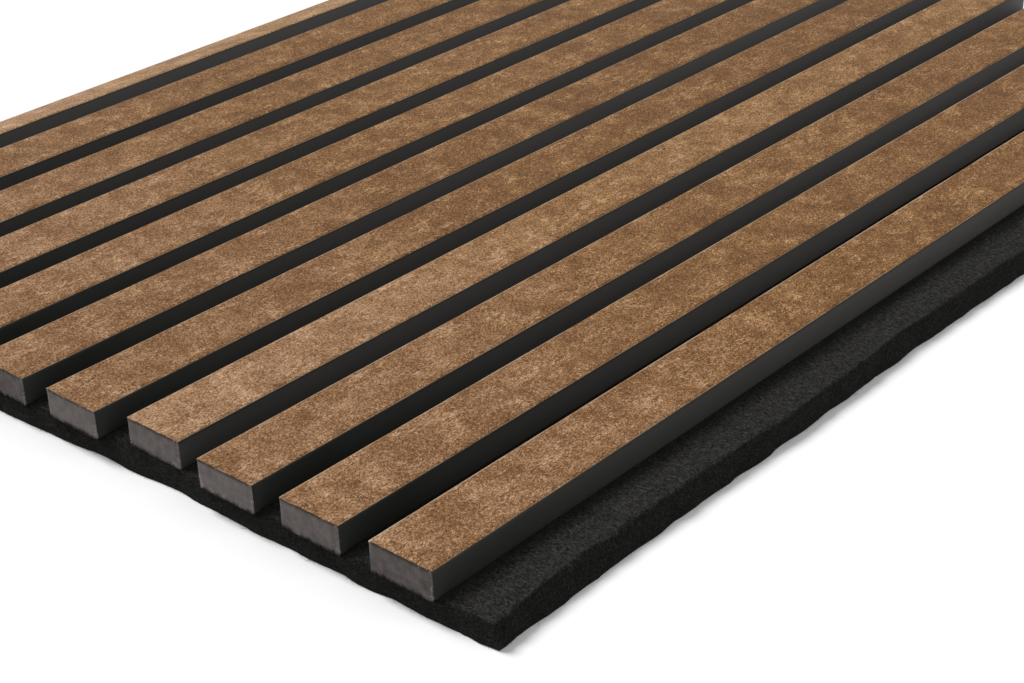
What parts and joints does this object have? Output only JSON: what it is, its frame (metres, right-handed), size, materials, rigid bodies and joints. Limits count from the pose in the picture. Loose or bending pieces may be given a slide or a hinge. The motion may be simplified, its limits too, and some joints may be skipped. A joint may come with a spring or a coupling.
{
  "type": "slatted acoustic wall panel",
  "caption": "Acoustic wall panel of leather-look slats with black sides, stapled side by side to a black felt backing.",
  "frame": {"origin": "middle of the panel's outline, on the back of the felt", "axes": "+X across the slats, from the leaning slat to the felt's free margin; +Y along the slats, from the sawn ends to the factory ends; +Z out of the wall, from the felt's back to the slats' faces"},
  "size_m": [0.454, 0.6, 0.021],
  "materials": {
    "felt": "black needle-punched polyester felt, matt and fibrous",
    "fibreboard": "through-dyed grey fibreboard, satin black on its long sides, bare and matt at its sawn ends",
    "foil": "distressed brown leather-look foil, satin, with fine crackle and creases",
    "staple_wire": "galvanised flat wire"
  },
  "bodies": {
    "root": {"felt_backing": "felt", "staples": "staple_wire", "slat_core_01": "fibreboard", "slat_core_02": "fibreboard", "slat_core_03": "fibreboard", "slat_core_04": "fibreboard", "slat_core_05": "fibreboard", "slat_core_06": "fibreboard", "slat_core_07": "fibreboard", "slat_core_08": "fibreboard", "slat_core_09": "fibreboard", "slat_core_10": "fibreboard", "slat_core_11": "fibreboard", "slat_face_01": "foil", "slat_face_02": "foil", "slat_face_03": "foil", "slat_face_04": "foil", "slat_face_05": "foil", "slat_face_06": "foil", "slat_face_07": "foil", "slat_face_08": "foil", "slat_face_09": "foil", "slat_face_10": "foil", "slat_face_11": "foil"}
  },
  "joints": []
}
